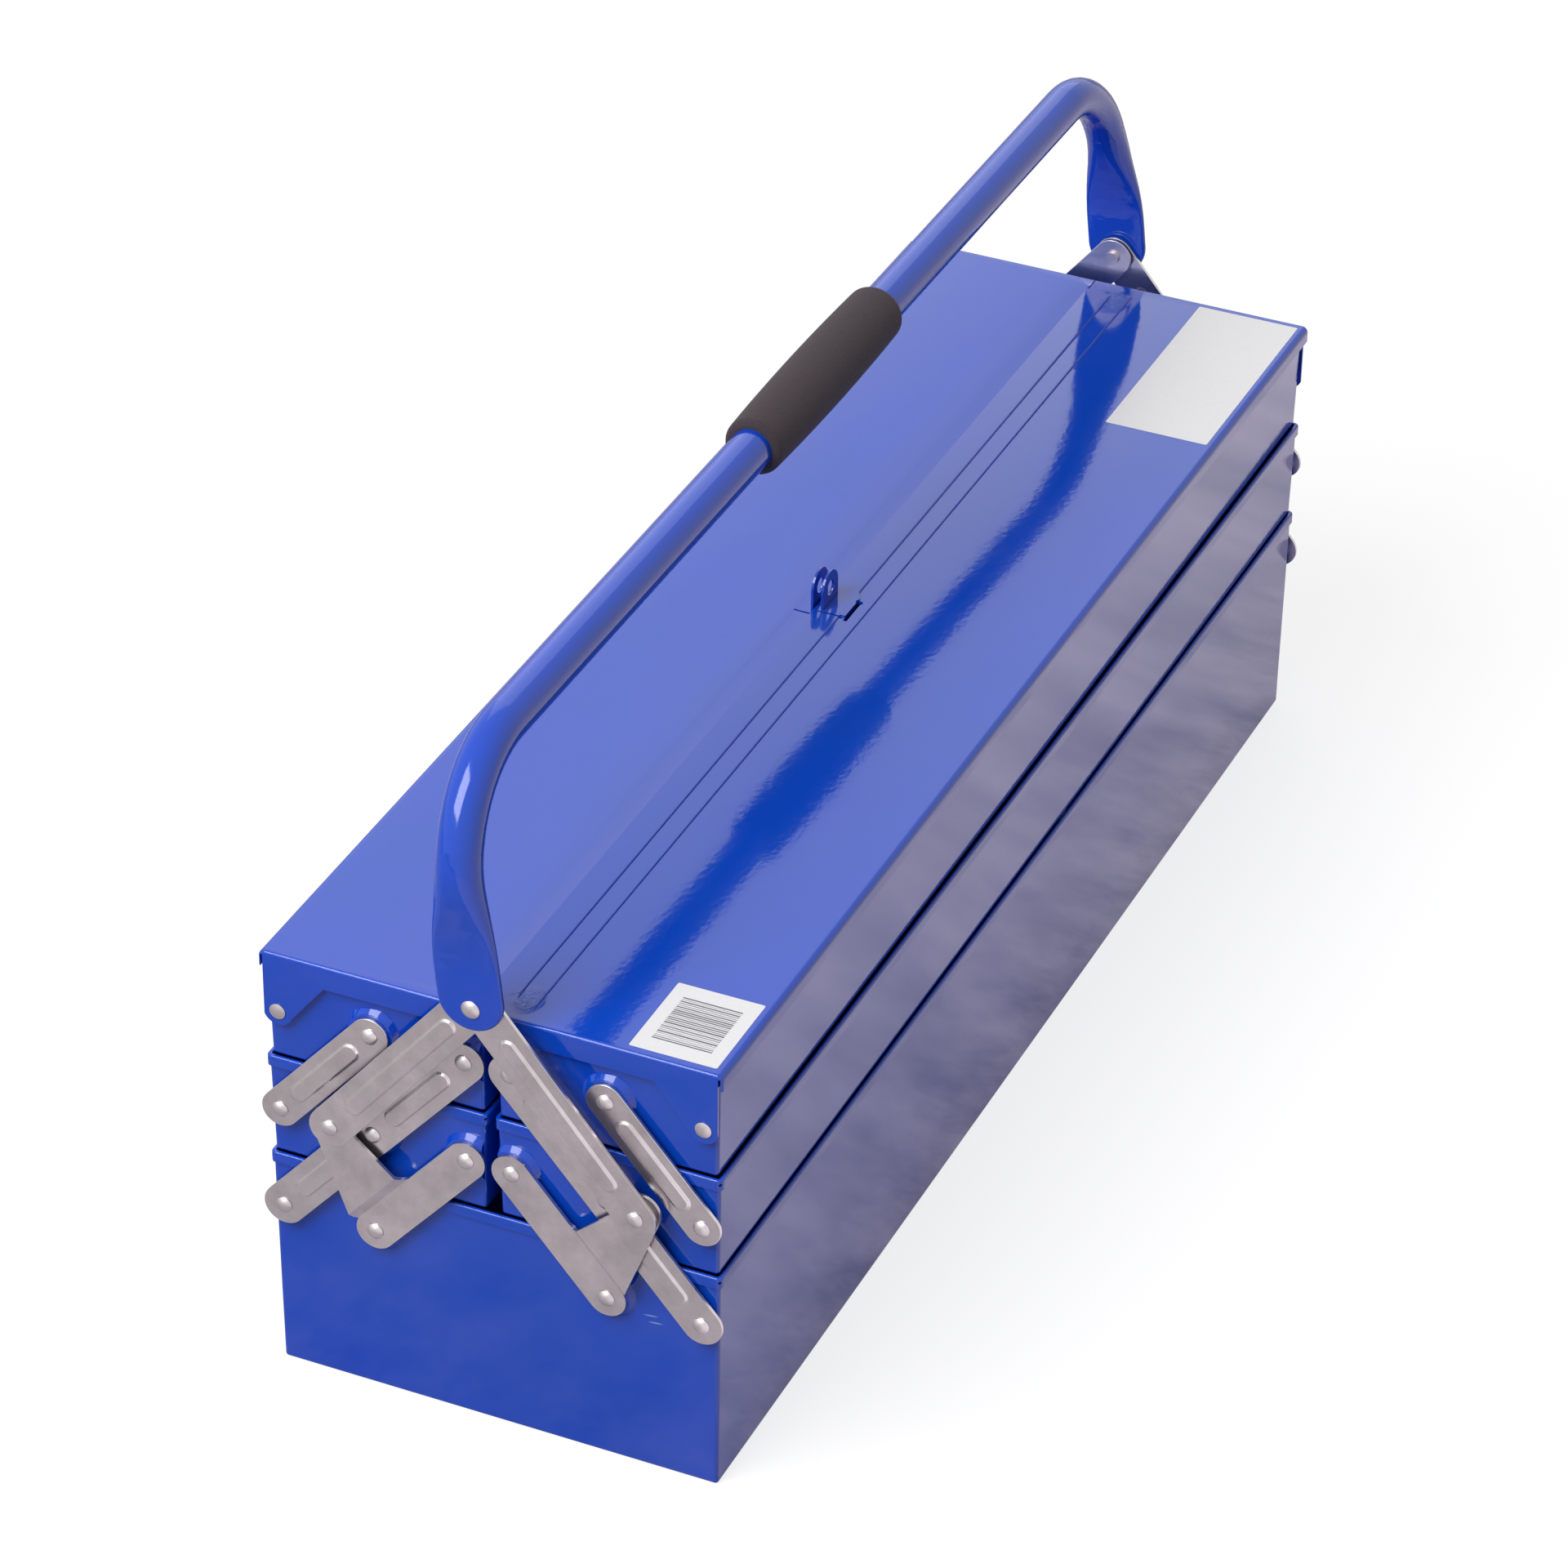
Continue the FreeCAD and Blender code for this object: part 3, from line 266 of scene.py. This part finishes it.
# %% Zinc plate
def zinc(name, stretch, light, dark, roughness):
    """Plated metal that is darker and rougher where it is stained."""
    finish, tree, shader, place = new_finish(name)
    shader.inputs["Metallic"].default_value = 1.0
    stains = noise(tree, place, 55.0, 5.0, 0.65)
    lines = noise(tree, place, 260.0, 3.0, 0.6, stretch)
    tone = ramp(tree, stains, ((0.28, 0.0), (0.70, 1.0)))
    base = blend_colours(tree, tone, dark, light)
    veil = ramp(tree, lines, ((0.35, 0.0), (0.75, 1.0)))
    veil_amount = arithmetic(tree, "MULTIPLY", veil, 0.25)
    base = blend_colours(tree, veil_amount, base, (0.74, 0.71, 0.71))
    tree.links.new(base, shader.inputs["Base Color"])
    rough = ramp(tree, stains, ((0.3, roughness + 0.10), (0.75, roughness)))
    tree.links.new(rough, shader.inputs["Roughness"])
    bump(tree, shader, lines, 0.00004, 0.5)
    return finish


ZINC_DARK = (0.50, 0.46, 0.47)
WIDE_IN_PLANE = (1.0, 0.25, 0.25)
EVEN = (1.0, 1.0, 1.0)
plate_zinc = zinc("zinc_plate_links", WIDE_IN_PLANE, (0.74, 0.69, 0.705), ZINC_DARK, 0.25)
rivet_zinc = zinc("zinc_plate_rivets", EVEN, (0.68, 0.64, 0.65), ZINC_DARK, 0.34)
print("zinc", plate_zinc.name, rivet_zinc.name)

# %% [markdown]
# ## Foam grip
# The grip is a sleeve of closed-cell foam, charcoal with a brown cast. Its skin is matt
# and pitted with fine cells, and dust lightens it slightly. The pits of the cells are
# painted darker, a painted shade in the recesses. Fine cells and a coarser grain in the
# bump read as foam at this distance.

# %% Foam
foam, foam_tree, foam_shader, foam_place = new_finish("charcoal_foam")
cells = foam_tree.nodes.new("ShaderNodeTexVoronoi")
cells.inputs["Scale"].default_value = 1500.0
foam_tree.links.new(foam_place, cells.inputs["Vector"])
foam_cloud = noise(foam_tree, foam_place, 70.0, 6.0, 0.7)
foam_tone = blend_colours(foam_tree, foam_cloud, (0.040, 0.029, 0.036), (0.060, 0.044, 0.053))
# Painted shade: the pits of the cells are darker, where shade falls in them
pit_shade = ramp(foam_tree, cells.outputs["Distance"], ((0.05, 0.0), (0.5, 1.0)))
cell_tone_and_pit_shade = blend_colours(foam_tree, pit_shade, (0.024, 0.017, 0.021), (0.076, 0.056, 0.068))
foam_tone = blend_colours(foam_tree, 0.35, foam_tone, cell_tone_and_pit_shade)
foam_tree.links.new(foam_tone, foam_shader.inputs["Base Color"])
foam_shader.inputs["Roughness"].default_value = 0.92
foam_shader.inputs["Specular IOR Level"].default_value = 0.28
foam_shader.inputs["Sheen Weight"].default_value = 0.12
foam_shader.inputs["Sheen Roughness"].default_value = 0.5
grain = noise(foam_tree, foam_place, 700.0, 4.0, 0.65)
foam_first = bump(foam_tree, foam_shader, cells.outputs["Distance"], 0.0002, 0.5)
bump(foam_tree, foam_shader, grain, 0.00035, 0.6, foam_first)
print("foam", foam.name)

# %% [markdown]
# ## Dressing a part of the frame
# A part that comes from the frame is a bag of loose triangles. To shade it well, a copy is
# merged, flat regions become single faces and edges sharper than an angle stay crisp. The
# stamped plates also get a narrow bevel that catches light. The copy replaces the frame's
# part for the eye, while the frame's own part stays for the physics.

# %% Copying and dressing
MERGE = 0.000002


def merged_copy(node, name):
    """A clean mesh of a frame part: merged points and single flat faces."""
    mesh = nodes[node].data.copy()
    mesh.name = name
    mesh.materials.clear()
    work = bmesh.new()
    work.from_mesh(mesh)
    bmesh.ops.remove_doubles(work, verts=work.verts, dist=MERGE)
    bmesh.ops.dissolve_limit(work, angle_limit=math.radians(0.4),
                             verts=work.verts, edges=work.edges)
    work.to_mesh(mesh)
    work.free()
    if mesh.attributes.get("custom_normal") is not None:
        mesh.attributes.remove(mesh.attributes["custom_normal"])
    return mesh


def show(mesh, name, body, finish, replaced=()):
    """Links a finished mesh as a piece that rides on a body."""
    piece = bpy.data.objects.new(name, mesh)
    bpy.context.scene.collection.objects.link(piece)
    mesh.materials.clear()
    mesh.materials.append(finish)
    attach(piece, body)
    if replaced:
        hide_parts(*replaced)
    return piece


def soften_edges(piece, width, weights, segments):
    """Bevels each edge by a weight that depends on how sharp it is, in degrees."""
    mesh = piece.data
    work = bmesh.new()
    work.from_mesh(mesh)
    layers = work.edges.layers.float
    layer = layers.get("bevel_weight_edge") or layers.new("bevel_weight_edge")
    for edge in work.edges:
        weight = 0.0
        if len(edge.link_faces) == 2:
            angle = math.degrees(edge.calc_face_angle(0))
            for low, high, value in weights:
                if low <= angle < high:
                    weight = value
        edge[layer] = weight
    work.to_mesh(mesh)
    work.free()
    bevel = piece.modifiers.new("soft_edges", "BEVEL")
    bevel.limit_method = "WEIGHT"
    bevel.width = width
    bevel.segments = segments
    bevel.use_clamp_overlap = True


def shade(mesh, degrees):
    """Smooth shading with edges over an angle left crisp."""
    mesh.polygons.foreach_set("use_smooth", [True] * len(mesh.polygons))
    mesh.set_sharp_from_angle(angle=math.radians(degrees))


def dress(node, finish, degrees=32, bevel=None):
    """Shows a smooth copy of a frame part in its place, on its own body."""
    mesh = merged_copy(node, node + "_skin")
    shade(mesh, degrees)
    piece = show(mesh, node + "_skin", body_of_node[node], finish, (node,))
    if bevel:
        soften_edges(piece, *bevel)
    return piece


print("ready to dress", len(nodes), "nodes")

# %% [markdown]
# ## Painted sheet: base, trays, dividers and lids
# These pans and lids keep the frame's shapes as they are: folded sheet has its roundings
# in the frame already, so only the shading is smoothed, with crisp edges over 32 degrees.

# %% Pans and lids
painted = ["base_bin"]
for side in ("left", "right"):
    painted += [side + "_middle_tray", side + "_top_tray"]
    painted += [side + "_middle_dividers", side + "_top_dividers"]
    painted += [side + "_lid", side + "_hasp_lug"]
for node in painted:
    dress(node, sheet_paint)
print("painted pieces", len(painted))

# %% [markdown]
# ## Stamped links
# Links, crank plates and arms are stamped strip with pressed ribs. A press leaves broad
# soft shoulders on a rib and a small rounding on the cut edge. Both get a narrow bevel:
# a wide one would wash the rib's outline out, which is what makes it read as pressed.

# %% Links
PLATE_BEVEL = (0.00032, ((30, 65, 1.0), (65, 100, 0.6)), 2)
PLATE_NAMES = ("_long_link", "_short_link", "_crank_plate", "_arm")
plates = [n for n in nodes if n.endswith(PLATE_NAMES)]
for node in sorted(plates):
    dress(node, plate_zinc, 40, PLATE_BEVEL)
print("stamped plates", len(plates))

# %% [markdown]
# ## Rivets, rings and studs
# Every head, shank and crimped tail comes from the frame. Their zinc is rougher than the
# plates', so the highlights on the heads stay soft.

# %% Rivets and rings from the frame
small_metal = ("right_arm_spacers", "left_arm_studs", "base_link_rivets", "handle_rivets",
               "left_middle_tray_rivets", "right_middle_tray_rivets", "left_top_tray_rivets",
               "right_top_tray_rivets", "left_lid_rivets", "right_lid_rivets",
               "left_crank_rivets", "right_crank_rivets")
for node in small_metal:
    dress(node, rivet_zinc, 40)
print("rivets and rings", len(small_metal))

# %% [markdown]
# ## Handle and grip
# The tube is enamelled like the sheet, a little less glossy and without the marks. The
# grip is firm foam.

# %% Handle and grip
dress("handle_tube", tube_paint, 50)
grip_piece = dress("handle_grip", foam, 50)
print("handle and", grip_piece.name)

# %% [markdown]
# ## Paper labels
# Two white paper stickers lie on the right lid, a small one near the front end and a
# larger one at the far end. The larger one is blank. Each is a thin flat sheet with round
# corners, which is glued down all over.

# %% Label paper and ink
paper, paper_tree, paper_shader, paper_place = new_finish("label_paper")
fibres = noise(paper_tree, paper_place, 520.0, 5.0, 0.7)
paper_tone = blend_colours(paper_tree, fibres, (0.80, 0.79, 0.80), (0.90, 0.895, 0.90))
paper_tree.links.new(paper_tone, paper_shader.inputs["Base Color"])
paper_shader.inputs["Roughness"].default_value = 0.38
bump(paper_tree, paper_shader, fibres, 0.00005, 0.5)

ink, ink_tree, ink_shader, ink_place = new_finish("label_ink")
wear = noise(ink_tree, ink_place, 900.0, 4.0, 0.6)
ink_tone = blend_colours(ink_tree, wear, (0.075, 0.070, 0.090), (0.14, 0.13, 0.16))
ink_tree.links.new(ink_tone, ink_shader.inputs["Base Color"])
ink_shader.inputs["Roughness"].default_value = 0.5

# %% Label sheets
LID_TOP = 0.2054                         # the right lid's upper face, in metres
PAPER = 0.00012                          # the thickness of the paper
CORNER = 0.0008
CORNER_STEPS = 6


def label(name, x0, x1, y0, y1):
    """A thin flat sheet with round corners on top of the right lid."""
    outline = []
    for cx, cy, first in ((x1 - CORNER, y1 - CORNER, 0), (x0 + CORNER, y1 - CORNER, 90),
                          (x0 + CORNER, y0 + CORNER, 180), (x1 - CORNER, y0 + CORNER, 270)):
        for k in range(CORNER_STEPS + 1):
            turn = math.radians(first + k * 90 / CORNER_STEPS)
            outline.append((cx + CORNER * math.cos(turn), cy + CORNER * math.sin(turn)))
    work = bmesh.new()
    ring = [work.verts.new((x, y, LID_TOP + PAPER)) for x, y in outline]
    sheet = work.faces.new(ring)
    base = bmesh.ops.extrude_face_region(work, geom=[sheet])
    for part in base["geom"]:
        if isinstance(part, bmesh.types.BMVert):
            part.co.z -= PAPER
    bmesh.ops.recalc_face_normals(work, faces=work.faces)
    mesh = bpy.data.meshes.new(name)
    work.to_mesh(mesh)
    work.free()
    return show(mesh, name, "right_lid_body", paper)


near_label = label("near_paper_label", -0.3222, -0.2765, -0.0965, -0.0590)
far_label = label("far_paper_label", 0.2030, 0.3222, -0.0968, -0.0480)
print("labels", near_label.name, far_label.name)

# %% [markdown]
# ## Bars on the near label
# A row of plain bars repeats one shape at one pitch with uneven widths, which is a job for
# Geometry Nodes: a line of points, one flat bar on each, and a random width from a fixed
# seed. The bars stand for nothing and can't be read.

# %% Row of bars by Geometry Nodes
BARS = 24
PITCH = 0.00125
BAR_HEIGHT = 0.0255
INK_THICKNESS = 0.00003
THINNEST, WIDEST = 0.14, 0.66            # a bar's width as a share of the pitch
SEED = 7
bars_tree = bpy.data.node_groups.new("row_of_bars", "GeometryNodeTree")
face = bars_tree.interface
for title, kind, value in (("Bars", "NodeSocketInt", BARS),
                           ("Pitch", "NodeSocketFloat", PITCH),
                           ("Height", "NodeSocketFloat", BAR_HEIGHT),
                           ("Thinnest", "NodeSocketFloat", THINNEST),
                           ("Widest", "NodeSocketFloat", WIDEST)):
    face.new_socket(title, in_out="INPUT", socket_type=kind).default_value = value
face.new_socket("Geometry", in_out="OUTPUT", socket_type="NodeSocketGeometry")
make = bars_tree.nodes.new
join = bars_tree.links.new
given = make("NodeGroupInput")
result = make("NodeGroupOutput")
offset = make("ShaderNodeCombineXYZ")
join(given.outputs["Pitch"], offset.inputs["X"])
line = make("GeometryNodeMeshLine")
join(given.outputs["Bars"], line.inputs["Count"])
join(offset.outputs["Vector"], line.inputs["Offset"])
bar_size = make("ShaderNodeCombineXYZ")
join(given.outputs["Pitch"], bar_size.inputs["X"])
join(given.outputs["Height"], bar_size.inputs["Y"])
bar_size.inputs["Z"].default_value = INK_THICKNESS
bar = make("GeometryNodeMeshCube")
join(bar_size.outputs["Vector"], bar.inputs["Size"])
width = make("FunctionNodeRandomValue")
width.data_type = "FLOAT"
width.inputs["Seed"].default_value = SEED
join(given.outputs["Thinnest"], width.inputs[2])
join(given.outputs["Widest"], width.inputs[3])
stretch = make("ShaderNodeCombineXYZ")
join(width.outputs[1], stretch.inputs["X"])
stretch.inputs["Y"].default_value = 1.0
stretch.inputs["Z"].default_value = 1.0
rows = make("GeometryNodeInstanceOnPoints")
join(line.outputs["Mesh"], rows.inputs["Points"])
join(bar.outputs["Mesh"], rows.inputs["Instance"])
join(stretch.outputs["Vector"], rows.inputs["Scale"])
solid = make("GeometryNodeRealizeInstances")
join(rows.outputs["Instances"], solid.inputs["Geometry"])
inked = make("GeometryNodeSetMaterial")
inked.inputs["Material"].default_value = ink
join(solid.outputs["Geometry"], inked.inputs["Geometry"])
join(inked.outputs["Geometry"], result.inputs["Geometry"])
print("row of bars, nodes", len(bars_tree.nodes))

# %% Bars as a mesh
carrier = bpy.data.objects.new("bars_carrier", bpy.data.meshes.new("bars_carrier"))
bpy.context.scene.collection.objects.link(carrier)
modifier = carrier.modifiers.new("row_of_bars", "NODES")
modifier.node_group = bars_tree
sockets = {item.name: item.identifier for item in face.items_tree
           if item.item_type == "SOCKET" and item.in_out == "INPUT"}
modifier[sockets["Bars"]] = BARS
modifier[sockets["Pitch"]] = PITCH
seen_carrier = carrier.evaluated_get(bpy.context.evaluated_depsgraph_get())
bars_mesh = bpy.data.meshes.new_from_object(seen_carrier)
bpy.data.objects.remove(carrier)
FIRST_BAR = (-0.3137, -0.0777, LID_TOP + PAPER + 0.00001)
bars_mesh.transform(Matrix.Translation(FIRST_BAR))
bars = show(bars_mesh, "near_label_bars", "right_lid_body", ink)
print("bars", len(bars_mesh.polygons) // 6)

# %% [markdown]
# ## Floor, world and lamps
# A white floor and a white surround, as on a studio table. The camera sees the floor as
# white with the box's soft shadow, while diffuse light finds it grey and without a glow of
# its own, so it doesn't flood the box from below. Reflections see a painted reflection: a
# slightly warm, mottled glow of the floor that the camera doesn't see. It carries a painted
# shade, dark at the foot of the long wall that the camera sees and bright from 20 cm off
# the middle, and on the wall's other side it stays dark. The lid's gloss needs something
# bright to mirror: a wide soft panel stands behind the box, where the camera's view bounces
# off the lid. These levels were matched to the photograph by samples.

# %% Floor
REACH = 14.0
floor_corners = [(x * REACH, y * REACH, 0) for x, y in ((-1, -1), (1, -1), (1, 1), (-1, 1))]
floor_mesh = bpy.data.meshes.new("studio_floor")
floor_mesh.from_pydata(floor_corners, [], [(0, 1, 2, 3)])
floor = bpy.data.objects.new("studio_floor", floor_mesh)
bpy.context.scene.collection.objects.link(floor)
floor_finish, floor_tree, floor_shader, floor_place = new_finish("pale_floor")
paths = floor_tree.nodes.new("ShaderNodeLightPath").outputs
mirrored = arithmetic(floor_tree, "MAXIMUM",
                      paths["Is Glossy Ray"], paths["Is Transmission Ray"])
seen = arithmetic(floor_tree, "MAXIMUM", paths["Is Camera Ray"], mirrored)
floor_tone = blend_colours(floor_tree, seen, (0.42, 0.42, 0.43), (0.28, 0.28, 0.28))
floor_tree.links.new(floor_tone, floor_shader.inputs["Base Color"])
floor_shader.inputs["Roughness"].default_value = 0.9
floor_shader.inputs["Specular IOR Level"].default_value = 0.0
print("floor", floor.name)

# %% Floor's glow to the camera and in reflections
# Positions on the ramp are metres from the box's middle plane towards -Y
CAMERA_GLOW = 0.80
# Glow seen only in reflections is a painted reflection, dimmed to a painted shade at the
# wall's foot
SHADED_WALL_FOOT_GLOW = 0.08
OPEN_FLOOR_GLOW = 0.70
# Painted reflection: a mottle seen only in reflections, not on the floor the camera sees
REFLECTION_MOTTLE_GLOW = 0.40
# Painted reflection colour: this warm tint is seen only in reflections
PAINTED_REFLECTION_TINT = (1.0, 0.88, 0.96)
PAINTED_WALL_SHADE_STOPS = ((0.06, 0.0), (0.10, 0.45), (0.20, 1.0))
sides = floor_tree.nodes.new("ShaderNodeSeparateXYZ")
floor_tree.links.new(floor_place, sides.inputs[0])
from_middle = arithmetic(floor_tree, "MULTIPLY", sides.outputs["Y"], -1.0)
# Painted shade: the reflected floor is dark at the wall's foot and bright from 20 cm off
out_of_wall_shade = ramp(floor_tree, from_middle, PAINTED_WALL_SHADE_STOPS)
# Painted reflection: the mottle that only reflections see
reflection_mottle_noise = noise(floor_tree, floor_place, 17.0, 9.0, 0.70)
reflection_mottle = ramp(floor_tree, reflection_mottle_noise, ((0.36, 0.0), (0.64, 1.0)))
near_glow = arithmetic(floor_tree, "MULTIPLY", out_of_wall_shade, OPEN_FLOOR_GLOW)
near_glow = arithmetic(floor_tree, "ADD", near_glow, SHADED_WALL_FOOT_GLOW)
reflection_mottle_glow = arithmetic(floor_tree, "MULTIPLY", reflection_mottle, REFLECTION_MOTTLE_GLOW)
painted_reflection_glow = arithmetic(floor_tree, "ADD", near_glow, reflection_mottle_glow)
painted_reflection_glow = arithmetic(floor_tree, "MULTIPLY", painted_reflection_glow, mirrored)
camera_glow = arithmetic(floor_tree, "MULTIPLY", paths["Is Camera Ray"], CAMERA_GLOW)
floor_glow = arithmetic(floor_tree, "ADD", camera_glow, painted_reflection_glow)
# Painted reflection colour: warm in reflections, white to the camera
glow_colour = blend_colours(floor_tree, mirrored, (1, 1, 1), PAINTED_REFLECTION_TINT)
floor_tree.links.new(glow_colour, floor_shader.inputs["Emission Color"])
floor_tree.links.new(floor_glow, floor_shader.inputs["Emission Strength"])
floor_mesh.materials.append(floor_finish)
print("floor's glow to the camera", CAMERA_GLOW)

# %% World
DIFFUSE_SKY = 0.26
SEEN_SKY = 1.0
world = bpy.data.worlds.new("studio_world")
bpy.context.scene.world = world
world.use_nodes = True
sky = world.node_tree
back = sky.nodes["Background"]
back.inputs["Color"].default_value = (1, 1, 1, 1)
sky_paths = sky.nodes.new("ShaderNodeLightPath").outputs
sky_seen = arithmetic(sky, "MAXIMUM", sky_paths["Is Camera Ray"], sky_paths["Is Glossy Ray"])
sky_seen = arithmetic(sky, "MAXIMUM", sky_seen, sky_paths["Is Transmission Ray"])
sky_level = arithmetic(sky, "MULTIPLY", sky_seen, SEEN_SKY - DIFFUSE_SKY)
sky_level = arithmetic(sky, "ADD", sky_level, DIFFUSE_SKY)
sky.links.new(sky_level, back.inputs["Strength"])
print("sky to diffuse light", DIFFUSE_SKY, "and seen", SEEN_SKY)

# %% Lamps
def lamp(name, place, aim, size, power):
    """A square soft lamp that faces a point, out of the camera's sight."""
    data = bpy.data.lights.new(name, "AREA")
    data.shape = "SQUARE"
    data.size = size
    data.energy = power
    thing = bpy.data.objects.new(name, data)
    thing.location = place
    direction = Vector(aim) - Vector(place)
    thing.rotation_euler = direction.to_track_quat("-Z", "Y").to_euler()
    thing.visible_camera = False
    bpy.context.scene.collection.objects.link(thing)
    return thing


key_lamp = lamp("key_lamp", (-2.4, 1.0, 3.2), (0, 0, 0.1), 2.4, 140)
back_panel = lamp("back_panel", (3.15, 1.39, 2.44), (0, 0, 0.2), 3.0, 22)
print("lamps", key_lamp.name, back_panel.name)

# %% View without a film curve
bpy.context.scene.view_settings.view_transform = "Standard"
